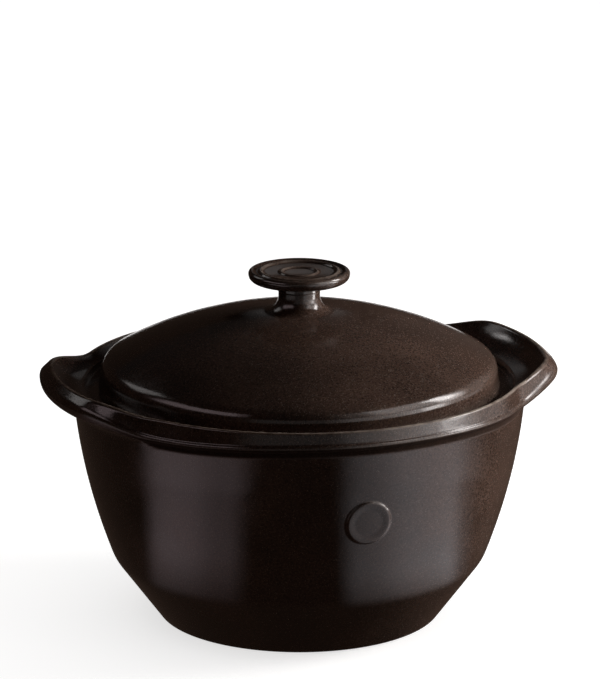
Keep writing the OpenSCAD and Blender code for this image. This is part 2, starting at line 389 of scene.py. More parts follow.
def pot_foot(s, column):
    """Underside, foot ring, lower cone and the soft kink. Returns the wall's first height."""
    hollow_r = s.foot_r - s.foot_round - s.foot_w
    top = (hollow_r - 1.2 * s.foot_hollow, s.foot_hollow)
    low = (hollow_r, 0.0)
    column.add([(r * top[0], s.foot_hollow) for r in (0, 0.2, 0.45, 0.7, 0.88)])
    column.add(turn((top[0] - 1, top[1]), top, towards(top, low, 1), 4))
    column.add(turn(towards(low, top, FOOT_TURN), low, (low[0] + FOOT_TURN, 0), 4), bare=1.0)
    foot_c = (s.foot_r - s.foot_round, s.foot_round)
    column.add(straight((low[0] + FOOT_TURN, 0), (foot_c[0], 0), 5), bare=1.0)
    kink = (s.kink_r, s.kink_z)
    lean = bearing(foot_c, kink) - math.degrees(math.acos(s.foot_round / span(foot_c, kink)))
    column.add(arc(foot_c, s.foot_round, -90, lean, 10), bare=lambda i, n: 1 - step(i / n, 0.25, 0.6),
               thin=lambda i, n: 0.3 * step(i / n, 0.2, 0.5) * (1 - step(i / n, 0.6, 1)))
    cone_low = polar(foot_c, s.foot_round, lean)
    cone_top = towards(kink, cone_low, s.kink_soft)
    first_z = s.kink_z + s.kink_soft
    column.add(straight(cone_low, cone_top, 14))
    column.add(turn(cone_top, kink, (s.wall_r(first_z), first_z), 8), thin=crown(0.04))
    return first_z


def wall_heights(s, first_z, last_z):
    """Heights of the wall's rows, close together at the medallion."""
    low = s.medal_z - s.medal_r - MEDAL_MARGIN
    high = s.medal_z + s.medal_r + MEDAL_MARGIN
    rows = [first_z + (low - first_z) * i / 16 for i in range(1, 16)]
    rows += [low + (high - low) * i / 72 for i in range(73)]
    return rows + [high + (last_z - high) * i / 14 for i in range(1, 14)]


def pot_rim(s, column, a, first_z):
    """Wall and rim at one angle, up to the gallery. Returns the height of the gallery's top."""
    from_ear = abs((a + 90) % 180 - 90)
    out = fade(from_ear, s.ear_flat, s.ear_end)
    up = fade(from_ear, s.ear_flat + RISE_INSET, s.ear_end - RISE_INSET)
    down = fade(from_ear, s.root_flat, s.root_end) * s.ear_root
    lip = s.lip_r + s.ear_soft * out
    crest = (s.rim_r + s.ear_out * out - lip - RIM_INSET, s.rim_z + s.ear_up * up - lip)
    fat = s.roll_r + s.ear_fat * out
    roll_z = s.rim_z + s.ear_up * up - s.band_h - s.ear_deep * out + fat - down * (1 - out)
    roll_x = s.wall_top_r + s.roll_out - fat + (s.ear_out + s.ear_lean) * out
    roll = (roll_x - RIM_INSET, roll_z)
    root_z = s.wall_top_z - ROOT_DROP - down
    root = (s.wall_r(root_z) - ROOT_IN, root_z)
    inner = (s.gallery_r + lip, s.rim_z - s.slope_drop - lip)
    under_a = touch_a(roll, fat, root, 0)
    bead_a = touch_a(crest, lip, roll, fat) + s.bead_turn * (1 - out)
    bead = polar(roll, fat, bead_a)
    face_a = touch_a(crest, lip, bead, 0)
    face_top = polar(crest, lip, face_a)
    face_low = towards(bead, face_top, min(0.9, 0.4 * span(bead, face_top)))
    bead_soft = BEAD_SOFT * (1 - out)

    # The scoop is an arc that the crest and the gallery's lip run into smoothly
    dip = max(0.05, s.ear_scoop * out)
    half = span(crest, inner) / 2
    reach = (dip * dip + half * half) / (2 * dip)
    tilt = math.degrees(math.asin(half / reach))
    slope_a = bearing(crest, inner) + 270
    scoop_c = polar(between(crest, inner, 0.5), reach - dip, slope_a)

    # The underside runs into the wall where it crosses it, which is found by halving
    edge = polar(roll, fat, under_a)
    low, high = 0.0, 1.0
    for _ in range(40):
        middle = (low + high) / 2
        point = between(edge, root, middle)
        if point[0] > s.wall_r(point[1]):
            low = middle
        else:
            high = middle
    joint = between(edge, root, high)
    blend = min(UNDER_BLEND + EAR_BLEND * out, 0.6 * span(edge, joint))
    last_z = joint[1] - blend - COVE_H * (1 - out)
    under_start = towards(joint, edge, blend)
    cove = turn((s.wall_r(last_z), last_z), joint, under_start, 10)
    under = straight(under_start, edge, 8)

    # Painted shade in the groove and on the underside, full near the bead's edge and fading out below it
    def painted_shade_under_bead(point):
        return BEAD_SHADE * (1 - step(span(point, edge), BEAD_SHADE_FULL, BEAD_SHADE_END))

    for z in wall_heights(s, first_z, last_z):
        rise = s.medal_rise(math.hypot(s.wall_r(z) * math.cos(math.radians(a)), z - s.medal_z))
        rise = rise if math.sin(math.radians(a)) < 0 else 0.0
        column.add([(s.wall_r(z) + rise, z)], thin=0.06 * step(rise, 0.5, 0.9))
    column.add(cove, deep=lambda i, n: painted_shade_under_bead(cove[i]))
    column.add(under, deep=lambda i, n: painted_shade_under_bead(under[i]))
    # The lower side of the bead gets painted shade, weaker on the ears
    column.add(arc(roll, fat, under_a, bead_a - bead_soft, 16), thin=crown(0.1),
               deep=lambda i, n: (BEAD_SHADE - 0.5 * out) * (1 - step(i / n, 0.42, 0.7)))
    column.add(turn(polar(roll, fat, bead_a - bead_soft), bead, face_low, 5)[1:])
    column.add(straight(face_low, face_top, 6))
    # Paler crest: thinner glaze, and a painted highlight
    column.add(arc(crest, lip, face_a, slope_a + tilt, 12), thin=crown(1 - 0.6 * out))
    column.add(arc(scoop_c, reach - lip, slope_a + tilt + 180, slope_a - tilt + 180, 16)[1:-1])
    column.add(arc(inner, lip, slope_a - tilt, 180, 7), thin=crown(0.25))
    return inner[1]


def pot_inside(s, column, top_z):
    """Gallery, ledge for the lid, inner wall and floor."""
    corner = (s.gallery_r, s.ledge_z)
    above = (s.gallery_r, s.ledge_z + LEDGE_TURN)
    beside = (s.gallery_r - LEDGE_TURN, s.ledge_z)
    column.add(straight((s.gallery_r, top_z), above, 4))
    column.add(turn(above, corner, beside, 5))
    nose = (s.ledge_in_r + s.lip_r, s.ledge_z - s.lip_r)
    column.add(straight(beside, (nose[0], s.ledge_z), 5))
    column.add(arc(nose, s.lip_r, 90, 180, 6), thin=crown(0.3))
    in_z = s.kink_z + INSIDE_RISE
    in_kink = (s.inside_r(in_z), in_z)
    wall_low = in_z + INSIDE_TURN
    rows = [nose[1] + (wall_low - nose[1]) * i / 22 for i in range(1, 22)]
    column.add([(s.inside_r(z), z) for z in rows])
    cone_a = math.degrees(math.atan2(s.kink_z - s.foot_round, s.kink_r - s.foot_r))
    in_foot_r = in_kink[0] - (in_z - s.floor_z) / math.tan(math.radians(cone_a))
    turn_c = (in_foot_r - s.floor_round * math.tan(math.radians(cone_a / 2)), s.floor_z + s.floor_round)
    turn_start = polar(turn_c, s.floor_round, cone_a - 90)
    kink_end = towards(in_kink, turn_start, INSIDE_TURN)
    column.add(turn((s.inside_r(wall_low), wall_low), in_kink, kink_end, 8))
    column.add(straight(kink_end, turn_start, 5))
    column.add(arc(turn_c, s.floor_round, cone_a - 90, -90, 9))
    column.add([(turn_c[0] * t, s.floor_z) for t in (0.85, 0.65, 0.4, 0.2, 0)])


def pot_column(s, a):
    column = Column()
    first_z = pot_foot(s, column)
    top_z = pot_rim(s, column, a, first_z)
    pot_inside(s, column, top_z)
    return column


def lid_column(s):
    """The lid's section, from the middle of its underside round to the socket for the knob."""
    column = Column()
    dome_c = (0.0, s.dome_z)
    shoulder_c = (s.edge_r - s.shoulder_r, s.shoulder_z)
    flare_r = FLARE_SHARE * s.flare_r
    reach = s.stem_r + flare_r
    flare_c = (reach, s.dome_z + math.sqrt((s.dome_r + flare_r) ** 2 - reach ** 2))
    dome_a = bearing(dome_c, flare_c)
    dome_b = bearing(dome_c, shoulder_c)
    in_a = math.degrees(math.acos(s.skirt_in_r / s.inner_r))
    under = arc(dome_c, s.inner_r, 90, in_a + 1, 30)
    column.add([(0.0, under[0][1])] + under[1:])
    corner = polar(dome_c, s.inner_r, in_a)
    low_z = s.seat_z - s.skirt_h
    column.add(soft_line([
        (*under[-1], 0), (*corner, 1.8),
        (s.skirt_in_r, low_z, SKIRT_TURN), (s.skirt_r - 0.6, low_z, SKIRT_TURN),
        (s.skirt_r - 0.05, s.seat_z - SKIRT_TURN, 0),
    ])[1:])
    seat_in = (s.skirt_r + SEAT_TURN, s.seat_z)
    seat_out = (s.flange_r - SEAT_TURN, s.seat_z)
    column.add(turn((s.skirt_r, s.seat_z - SEAT_TURN), (s.skirt_r, s.seat_z), seat_in, 4))
    column.add(straight(seat_in, seat_out, 4))
    flange = soft_line([
        (*seat_out, 0), (s.flange_r, s.seat_z, 0.7),
        (s.flange_r, s.seat_z + s.flange_h, 0.9),
        (s.edge_r + 0.25 * s.flange_out, s.seat_z + 1.8 * s.flange_h, 1.4),
        (s.edge_r, s.shoulder_z - 0.5, 0),
    ])
    column.add(flange, thin=crown(0.16))
    column.add(arc(shoulder_c, s.shoulder_r, 0, dome_b, 20), thin=crown(0.04))
    column.add(arc(dome_c, s.dome_r, dome_b, dome_a, 64)[1:-1])
    column.add(arc(flare_c, flare_r, 180 + dome_a, 180, 16))
    column.add(straight((s.stem_r, flare_c[1]), (s.stem_r, s.flare_z), 4))
    socket_r = s.spigot_r + s.spigot_gap
    socket_z = s.flare_z - s.spigot_h - s.spigot_gap
    column.add([(s.stem_r - 0.03, s.flare_z)])
    column.add(soft_line([
        (s.stem_r, s.flare_z, 0), (socket_r, s.flare_z, 0.1), (socket_r, socket_z, 0.1), (0.0, socket_z, 0),
    ], 2)[1:], bare=1.0)
    return column


def raised_ring(r, w, z, h):
    """Section of a raised ring, from its outer side to its inner side."""
    turns = [math.pi * i / 14 for i in range(15)]
    return [(r + w / 2 * math.cos(t), z + h * math.sin(t) ** 2) for t in turns]


def knob_column(s):
    """The knob's section, from the middle of its spigot round to the middle of its top."""
    column = Column()
    low_r = BELLY_SHARE * s.disc_t
    top_r = s.disc_t - low_r
    belly_z = s.disc_z + low_r
    spigot_z = s.flare_z - s.spigot_h
    column.add(soft_line([
        (0.0, spigot_z, 0), (s.spigot_r, spigot_z, 0.6), (s.spigot_r, s.flare_z, 0.1),
        (s.stem_r - 1, s.flare_z, 0),
    ], 3), bare=1.0)
    column.add([(s.stem_r - 0.03, s.flare_z), (s.stem_r, s.flare_z), (s.stem_r, s.flare_z + 0.03)])
    column.add(straight((s.stem_r, s.flare_z), (s.stem_r, s.disc_z - s.under_r), 6))
    column.add(arc((s.stem_r + s.under_r, s.disc_z - s.under_r), s.under_r, 180, 90, 10))
    column.add(arc((s.disc_r - low_r, belly_z), low_r, -90, 0, 14))
    column.add(arc((s.disc_r - top_r, belly_z), top_r, 0, 90, 10)[1:], thin=crown(0.16))
    groove_z = s.disc_top - s.ring_h
    ring = raised_ring(s.ring_r, s.ring_w, groove_z, s.ring_h)
    mid_z = groove_z - MID_RING_DROP
    mid_ring = raised_ring(s.mid_ring_r, MID_RING_SHARE * s.ring_w, mid_z, MID_RING_SHARE * s.ring_h)
    start = (s.disc_r - top_r, s.disc_top)
    groove = (ring[0][0] + 0.6, groove_z + 0.1)
    column.add(turn(start, between(start, groove, 0.6), groove, 5)[1:])
    # Pale ring tops: thinner glaze, and a painted highlight
    column.add(ring, thin=crown(0.45))
    column.add(straight(ring[-1], mid_ring[0], 6))
    column.add(mid_ring, thin=crown(0.45))
    column.add([(mid_ring[-1][0] * t, mid_z - 0.2 + 0.2 * t * t) for t in (0.85, 0.6, 0.3, 0)])
    return column


def sweep(start, whole, count):
    """Angles of so many sections, from a start on and without the end."""
    return [start + whole * i / count for i in range(count)]


def put_in_scene(name, data):
    thing = bpy.data.objects.new(name, data)
    bpy.context.scene.collection.objects.link(thing)
    return thing


def mesh_from_columns(name, columns, angles, body, node, material):
    """A closed mesh swept through upright sections, which starts and ends on the axis."""
    rows = len(columns[0].points)
    count = len(columns)
    verts = []
    layers = {key: [] for key in LAYERS}

    def put(column, a, j):
        r, z = column.points[j]
        verts.append((r * math.cos(a) / MM, r * math.sin(a) / MM, z / MM))
        for key in LAYERS:
            layers[key].append(column.layers[key][j])

    put(columns[0], 0.0, 0)
    for column, a in zip(columns, angles):
        if len(column.points) != rows:
            raise RuntimeError("sections of " + name + " differ in length")
        for j in range(1, rows - 1):
            put(column, math.radians(a), j)
    put(columns[0], 0.0, rows - 1)
    ring = rows - 2
    last = len(verts) - 1
    faces = []
    for i in range(count):
        here = 1 + i * ring
        there = 1 + (i + 1) % count * ring
        faces.append((0, there, here))
        faces += [(here + j, there + j, there + j + 1, here + j + 1) for j in range(ring - 1)]
        faces.append((last, here + ring - 1, there + ring - 1))
    mesh = bpy.data.meshes.new(name)
    mesh.from_pydata(verts, [], faces)
    for key in LAYERS:
        layer = mesh.attributes.new(key, "FLOAT", "POINT")
        layer.data.foreach_set("value", layers[key])
    mesh.polygons.foreach_set("use_smooth", [True] * len(mesh.polygons))
    mesh.materials.append(material)
    mesh.validate()
    mesh.update()
    piece = put_in_scene(name, mesh)
    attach(piece, body)
    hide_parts(node)


# Shader node helpers
def add_node(tree, kind, **inputs):
    node = tree.nodes.new(kind)
    for key, value in inputs.items():
        node.inputs[key.replace("_", " ")].default_value = value
    return node


def math_node(tree, operation, a, b=0.0, clamp=False):
    node = tree.nodes.new("ShaderNodeMath")
    node.operation = operation
    node.use_clamp = clamp
    for socket, value in zip(node.inputs, (a, b)):
        if isinstance(value, (int, float)):
            socket.default_value = value
        else:
            tree.links.new(value, socket)
    return node.outputs[0]


def ramp(tree, value, low, high, to_low=0.0, to_high=1.0):
    """A smooth step of a value between two levels."""
    node = tree.nodes.new("ShaderNodeMapRange")
    node.interpolation_type = "SMOOTHSTEP"
    tree.links.new(value, node.inputs["Value"])
    for key, number in (("From Min", low), ("From Max", high), ("To Min", to_low), ("To Max", to_high)):
        node.inputs[key].default_value = number
    return node.outputs["Result"]


def mix(tree, mask, a, b):
    """Colour a where the mask is 0 and colour b where it is 1."""
    node = tree.nodes.new("ShaderNodeMix")
    node.data_type = "RGBA"
    for socket, value in ((node.inputs[0], mask), (node.inputs[6], a), (node.inputs[7], b)):
        tree.links.new(value, socket)
    return node.outputs[2]


def scaled(tree, rgb, value):
    """A colour times a value."""
    node = tree.nodes.new("ShaderNodeVectorMath")
    node.operation = "SCALE"
    tree.links.new(rgb, node.inputs[0])
    tree.links.new(value, node.inputs["Scale"])
    return node.outputs[0]


def noise(tree, vector, scale, detail=2.0, rough=0.5):
    node = add_node(tree, "ShaderNodeTexNoise", Scale=scale, Detail=detail, Roughness=rough)
    tree.links.new(vector, node.inputs["Vector"])
    return node.outputs["Fac"]


def dots(tree, vector, scale, size, share):
    """Round dots of a random choice of cells: a mask."""
    node = add_node(tree, "ShaderNodeTexVoronoi", Scale=scale, Randomness=1.0)
    tree.links.new(vector, node.inputs["Vector"])
    near = ramp(tree, node.outputs["Distance"], size * 0.45, size, 1.0, 0.0)
    pick = tree.nodes.new("ShaderNodeSeparateColor")
    tree.links.new(node.outputs["Color"], pick.inputs[0])
    chosen = ramp(tree, pick.outputs[0], 1 - share - 0.05, 1 - share + 0.05)
    return math_node(tree, "MULTIPLY", near, chosen)


def new_group(name, inputs, outputs):
    tree = bpy.data.node_groups.new(name, "ShaderNodeTree")
    for label, kind, default in inputs:
        socket = tree.interface.new_socket(name=label, in_out="INPUT", socket_type=kind)
        if default is not None:
            socket.default_value = default
    for label, kind in outputs:
        tree.interface.new_socket(name=label, in_out="OUTPUT", socket_type=kind)
    return tree, tree.nodes.new("NodeGroupInput"), tree.nodes.new("NodeGroupOutput")


def glaze_colour_group():
    """Colour of a speckled glaze: clouds, grain, flecks, pin marks, thin edges with a painted highlight,
    painted shade under the bead and bare clay.
    """
    tree, given, out = new_group(
        "Glaze colour",
        [(key, "NodeSocketColor", None) for key in COLOURS]
        + [(key, "NodeSocketFloat", 0.0) for key in MASKS] + [("Fleck Amount", "NodeSocketFloat", 0.5)],
        [("Colour", "NodeSocketColor"), ("Flecks", "NodeSocketFloat"), ("Bare", "NodeSocketFloat")],
    )
    where = tree.nodes.new("ShaderNodeTexCoord").outputs["Object"]
    clouds = ramp(tree, noise(tree, where, 22, 3), 0.3, 0.7, 0.78, 1.22)
    grain = ramp(tree, noise(tree, where, 900, 3, 0.7), 0.25, 0.75, 0.35, 1.65)
    tone = math_node(tree, "MULTIPLY", clouds, grain)
    ground = scaled(tree, given.outputs["Ground"], tone)
    fine, coarse = dots(tree, where, 1150, 0.34, 0.4), dots(tree, where, 520, 0.2, 0.2)
    flecks = math_node(tree, "ADD", fine, coarse, True)
    fleck_mask = math_node(tree, "MULTIPLY", flecks, given.outputs["Fleck Amount"])
    pits = math_node(tree, "MULTIPLY", dots(tree, where, 640, 0.26, 0.25), 0.8)
    body = mix(tree, pits, mix(tree, fleck_mask, ground, given.outputs["Fleck"]), given.outputs["Pit_and_shade"])
    wander = ramp(tree, noise(tree, where, 160, 3), 0.3, 0.65, 0.35, 1.0)
    # Paler thin edges, partly a painted highlight on the crest and the knob's rings
    thin_and_highlight_mask = math_node(tree, "MULTIPLY", given.outputs["Thin And Highlight Mask"], wander)
    edge_break_and_highlight = mix(tree, math_node(tree, "MULTIPLY", thin_and_highlight_mask, 0.7), body, given.outputs["Thin"])
    # Painted shade: the pit colour laid into the groove and over the lower side of the bead
    painted_shade_mask = math_node(tree, "MULTIPLY", given.outputs["Painted Shade Mask"], 0.8)
    painted_shade_under_bead = mix(tree, painted_shade_mask, edge_break_and_highlight, given.outputs["Pit_and_shade"])
    bare_edge = math_node(tree, "ADD", given.outputs["Bare Mask"],
                          ramp(tree, noise(tree, where, 260, 2), 0.3, 0.7, -0.18, 0.18))
    bare = ramp(tree, bare_edge, 0.42, 0.58)
    grit = ramp(tree, noise(tree, where, 1500, 2), 0.3, 0.7, 0.8, 1.12)
    clay = scaled(tree, given.outputs["Clay"], grit)
    tree.links.new(mix(tree, bare, painted_shade_under_bead, clay), out.inputs["Colour"])
    tree.links.new(fleck_mask, out.inputs["Flecks"])
    tree.links.new(bare, out.inputs["Bare"])
    return tree


def glaze_skin_group():
    """Roughness and height of the glaze's skin: slow waves, a fine peel, pin holes and a rougher skin where
    shade is painted under the bead.
    """
    tree, given, out = new_group(
        "Glaze skin",
        [("Roughness", "NodeSocketFloat", 0.3), ("Flecks", "NodeSocketFloat", 0.0),
         ("Bare", "NodeSocketFloat", 0.0), ("Painted Shade", "NodeSocketFloat", 0.0),
         ("Peel", "NodeSocketFloat", 1.0)],
        [("Roughness", "NodeSocketFloat"), ("Height", "NodeSocketFloat")],
    )
    where = tree.nodes.new("ShaderNodeTexCoord").outputs["Object"]
    drift = ramp(tree, noise(tree, where, 45, 3), 0.3, 0.7, -0.05, 0.05)
    grain = ramp(tree, noise(tree, where, 1400, 2), 0.25, 0.75, -0.05, 0.05)
    rough = math_node(tree, "ADD", math_node(tree, "ADD", drift, grain), given.outputs["Roughness"])
    # Where shade is painted under the bead the glaze is also rougher, so that its reflections dim
    for key, more, clamp in (("Flecks", 0.06, False), ("Bare", 0.5, True), ("Painted Shade", 0.7, True)):
        rough = math_node(tree, "ADD", rough, math_node(tree, "MULTIPLY", given.outputs[key], more), clamp)
    waves = math_node(tree, "MULTIPLY", noise(tree, where, 60, 2), 0.8)
    peel = math_node(tree, "MULTIPLY", noise(tree, where, 700, 3, 0.6), 0.22)
    holes = math_node(tree, "MULTIPLY", dots(tree, where, 380, 0.16, 0.25), -0.2)
    height = math_node(tree, "ADD", math_node(tree, "ADD", waves, peel), holes)
    tree.links.new(rough, out.inputs["Roughness"])
    tree.links.new(math_node(tree, "MULTIPLY", height, given.outputs["Peel"]), out.inputs["Height"])
    return tree


def glaze_material(name, look, rough, fleck_amount=0.6, peel=1.0, ior=1.55):
    """A fired glaze from the two shared groups."""
    material = bpy.data.materials.new(name)
    material.use_nodes = True
    tree = material.node_tree
    shader = tree.nodes["Principled BSDF"]
    shader.inputs["IOR"].default_value = ior
    groups = bpy.data.node_groups
    paint = tree.nodes.new("ShaderNodeGroup")
    paint.node_tree = groups.get("Glaze colour") or glaze_colour_group()
    skin = tree.nodes.new("ShaderNodeGroup")
    skin.node_tree = groups.get("Glaze skin") or glaze_skin_group()
    for key in COLOURS:
        paint.inputs[key].default_value = (*getattr(look, key.lower()), 1.0)
    paint.inputs["Fleck Amount"].default_value = fleck_amount
    masks = {}
    for key, layer in zip(MASKS, LAYERS):
        attribute = tree.nodes.new("ShaderNodeAttribute")
        attribute.attribute_name = layer
        masks[key] = attribute.outputs["Fac"]
        tree.links.new(masks[key], paint.inputs[key])
    tree.links.new(masks["Painted Shade Mask"], skin.inputs["Painted Shade"])
    # Painted shade: the specular level is turned down under the bead
    gloss = ramp(tree, masks["Painted Shade Mask"], 0.0, BEAD_SHADE, SPECULAR, BEAD_SHADE_SPECULAR)
    tree.links.new(gloss, shader.inputs["Specular IOR Level"])
    skin.inputs["Roughness"].default_value = rough
    skin.inputs["Peel"].default_value = peel
    tree.links.new(paint.outputs["Flecks"], skin.inputs["Flecks"])
    tree.links.new(paint.outputs["Bare"], skin.inputs["Bare"])
    tree.links.new(paint.outputs["Colour"], shader.inputs["Base Color"])
    tree.links.new(skin.outputs["Roughness"], shader.inputs["Roughness"])
    bump = add_node(tree, "ShaderNodeBump", Strength=0.5, Distance=0.0003)
    tree.links.new(skin.outputs["Height"], bump.inputs["Height"])
    tree.links.new(bump.outputs["Normal"], shader.inputs["Normal"])
    return material


class CASSEROLE_OT_pot(Operator):
    """Make the pot with its ears, gallery, foot and blank medallion"""

    bl_idname = "casserole.pot"
    bl_label = "Pot"

    def execute(self, context):
        scene = context.scene
        look = scene.casserole_glaze
        s = Sizes(scene)
        material = glaze_material("pot_speckled_glaze", look, look.pot_rough)
        angles = sweep(MEDAL_A + MEDAL_HALF, 360 - 2 * MEDAL_HALF, POT_SECTIONS)
        angles += sweep(MEDAL_A - MEDAL_HALF, 2 * MEDAL_HALF, MEDAL_SECTIONS)
        columns = [pot_column(s, a) for a in angles]
        mesh_from_columns("glazed_pot", columns, angles, "pot", "pot", material)
        return {"FINISHED"}


class CASSEROLE_OT_lid(Operator):
    """Make the domed lid with its hidden flange and skirt"""

    bl_idname = "casserole.lid"
    bl_label = "Lid"

    def execute(self, context):
        scene = context.scene
        look = scene.casserole_glaze
        material = glaze_material("lid_speckled_glaze", look, look.pot_rough)
        column = lid_column(Sizes(scene))
        columns = [column] * LID_SECTIONS
        angles = sweep(0, 360, LID_SECTIONS)
        mesh_from_columns("glazed_lid", columns, angles, "lid", "lid", material)
        return {"FINISHED"}


class CASSEROLE_OT_knob(Operator):
    """Make the mushroom knob with plain rings on top"""

    bl_idname = "casserole.knob"
    bl_label = "Knob"

    def execute(self, context):
        scene = context.scene
        look = scene.casserole_glaze
        material = glaze_material("knob_gloss_glaze", look, look.knob_rough,
                                  fleck_amount=0.25, peel=0.5, ior=1.6)
        column = knob_column(Sizes(scene))
        columns = [column] * KNOB_SECTIONS
        angles = sweep(0, 360, KNOB_SECTIONS)
        mesh_from_columns("glazed_knob", columns, angles, "lid", "knob", material)
        return {"FINISHED"}


# Tint of the weak light that comes back from the room
WARM_FILL = (1.0, 0.66, 0.50, 1.0)

# Tints of the cards
PALE = (1.0, 0.96, 0.95)
WARM = (1.0, 0.80, 0.84)
COOL = (0.98, 0.95, 1.0)

# Steps round a whole ring, and the floor's radii
RING_STEPS = 96
FLOOR_RING = (0.0005, 6.0)

# Distances from the axis within which a card that is pale from edge to edge reaches its light
WHOLE = (0.0, 0.1)

# Heights of the floor and of the cards on it, from the pot's foot, in metres
FLOOR_Z = -0.0002
CARD_Z = 0.0004

# Pale and dark cards round the pot, which shape the gloss, in metres and degrees. Bearing 0 is towards the
# camera, and right of it is positive. Pale sectors are (from, to, softness, strength).
# On the floor: name, ring (inner and outer radius, from, to), distances where the light starts and is full,
# tint, fill, whether bounced light sees it, and pale sectors
FLOOR_CARDS = (
    ("floor_left", (0.076, 0.27, -180, 0), (0.100, 0.175), WARM, 0.04, True,
     [(-70, -25, 6, 0.40), (-64, -41, 9, 0.28)]),
    ("floor_right", (0.076, 0.27, 0, 180), (0.100, 0.155), COOL, 0.04, True,
     [(20, 76, 6, 0.55), (38, 80, 14, 0.55)]),
    ("mid_left", (0.27, 0.62, -180, 0), WHOLE, WARM, 0.04, True,
     [(-72, -23, 7, 0.52), (-66, -41, 9, 0.28)]),
    ("mid_right", (0.27, 0.62, 0, 180), WHOLE, COOL, 0.04, True,
     [(21, 78, 7, 0.52), (38, 86, 14, 0.66)]),
    ("far_cards", (0.62, 1.2, -180, 180), WHOLE, PALE, 0.0, False,
     [(-75, -26, 4, 0.5), (-24, 22, 3, 0.15), (24, 78, 4, 0.9), (80, 97, 2, 12.0),
      (-181, -160, 4, 1.0), (160, 181, 4, 1.0)]),
)

# Upright: name, panel (radius, from, to, bottom, top, number of steps), tint, fill and pale sectors
WALL_CARDS = (
    ("dark_wall", (0.88, -140, 140, 0.0, 0.40, 96), PALE, 0.02,
     [(-25, 25, 8, 0.15), (24, 118, 10, 0.8), (44, 92, 10, 0.9), (60, 86, 8, 1.4)]),
    ("back_wall", (1.2, 130, 230, 0.0, 0.60, 24), PALE, 0.02, [(160, 170, 4, 0.02)]),
    ("left_panel", (0.8, -104, -20, 0.47, 0.82, 24), WARM, 0.0, [(-92, -34, 6, 1.1)]),
    ("right_panel", (0.8, 14, 100, 0.42, 1.05, 24), PALE, 0.0, [(45, 92, 8, 2.0), (24, 60, 10, 0.3)]),
    ("key_panel", (0.79, 86, 112, 0.46, 0.85, 24), PALE, 0.0, [(60, 130, 1, 1.2), (88, 105, 4, 13.0)]),
    ("key_low", (0.79, 82, 108, 0.32, 0.46, 24), PALE, 0.0, [(60, 130, 1, 1.2), (86, 102, 4, 4.5)]),
    ("right_strip", (0.87, 66, 90, 0.118, 0.32, 24), PALE, 0.0, [(60, 94, 1, 2.2), (70, 85, 2, 6.0)]),
    ("low_strip", (0.87, 76, 96, 0.0, 0.045, 24), PALE, 0.0, [(80, 93, 2, 10.0)]),
    ("low_back", (0.8, 170, 190, 0.37, 0.47, 24), PALE, 0.0, [(174, 181, 2, 0.16), (-181, -174, 2, 0.16)]),
    ("back_left", (0.8, -138, -106, 0.54, 0.95, 24), PALE, 0.0, [(-134, -110, 3, 1.0)]),
    ("far_left", (2.0, -146, -126, 1.22, 1.62, 24), PALE, 0.0, [(-142, -130, 3, 3.2)]),
    ("back_right", (0.8, 102, 148, 0.20, 0.62, 24), PALE, 0.0, [(112, 136, 8, 0.25)]),
)


def stage_place(look, right, away, up):
    """A place as seen from the camera: so far to the right, away and up, in metres."""
    c, s = math.cos(look.azimuth), math.sin(look.azimuth)
    return Vector((right * c + away * s, -right * s + away * c, up))


def stage_mesh(name, verts, faces, material):
    mesh = bpy.data.meshes.new(name)
    mesh.from_pydata(verts, [], faces)
    mesh.materials.append(material)
    thing = put_in_scene(name, mesh)
    return thing


def card_only(thing, takes_bounce):
    """A card that shapes the gloss of the glaze, and casts and shows nothing itself."""
    thing.visible_camera = False
    thing.visible_diffuse = takes_bounce
    thing.visible_shadow = False
    thing.visible_transmission = False
    thing.visible_volume_scatter = False


def background_rays(tree):
    """Masks of the rays that see the background: from the camera, and off gloss or through glass."""
    path = tree.nodes.new("ShaderNodeLightPath")
    gloss = math_node(tree, "MAXIMUM", path.outputs["Is Glossy Ray"], path.outputs["Is Transmission Ray"])
    return path.outputs["Is Camera Ray"], gloss


def blank_nodes(owner, output):
    """The emptied node tree of a material or world, and its output."""
    owner.use_nodes = True
    tree = owner.node_tree
    tree.nodes.clear()
    return tree, tree.nodes.new(output)


def add_up(tree, out, one, two):
    """Both shaders together as the surface."""
    both = tree.nodes.new("ShaderNodeAddShader")
    tree.links.new(one.outputs[0], both.inputs[0])
    tree.links.new(two.outputs[0], both.inputs[1])
    tree.links.new(both.outputs[0], out.inputs["Surface"])


def floor_material():
    """Pale floor: white as the background is, with the soft shadow of what stands on it."""
    material = bpy.data.materials.new("pale_floor")
    tree, out = blank_nodes(material, "ShaderNodeOutputMaterial")
    camera, gloss = background_rays(tree)
    seen = math_node(tree, "MAXIMUM", camera, gloss)
    geometry = tree.nodes.new("ShaderNodeNewGeometry")
    far = tree.nodes.new("ShaderNodeVectorMath")
    far.operation = "LENGTH"
    tree.links.new(geometry.outputs["Position"], far.inputs[0])
    share = ramp(tree, far.outputs["Value"], 0.12, 0.5, 0.96, 1.0)
    shade = add_node(tree, "ShaderNodeAmbientOcclusion", Distance=0.2)
    shade.samples = 8
    open_sky = ramp(tree, shade.outputs["AO"], 0.0, 0.9, 0.68, 1.0)
    white = add_node(tree, "ShaderNodeEmission", Color=(1, 1, 1, 1))
    glow = math_node(tree, "MULTIPLY", math_node(tree, "MULTIPLY", seen, share), open_sky)
    tree.links.new(glow, white.inputs["Strength"])
    matt = add_node(tree, "ShaderNodeBsdfDiffuse", Color=(0.5, 0.5, 0.5, 1))
    add_up(tree, out, matt, white)
    return material


def band_mask(tree, value, low, high, soft):
    """1 between two levels, with soft ends."""
    rise = ramp(tree, value, low - soft, low + soft)
    fall = ramp(tree, value, high - soft, high + soft, 1.0, 0.0)
    return math_node(tree, "MULTIPLY", rise, fall)


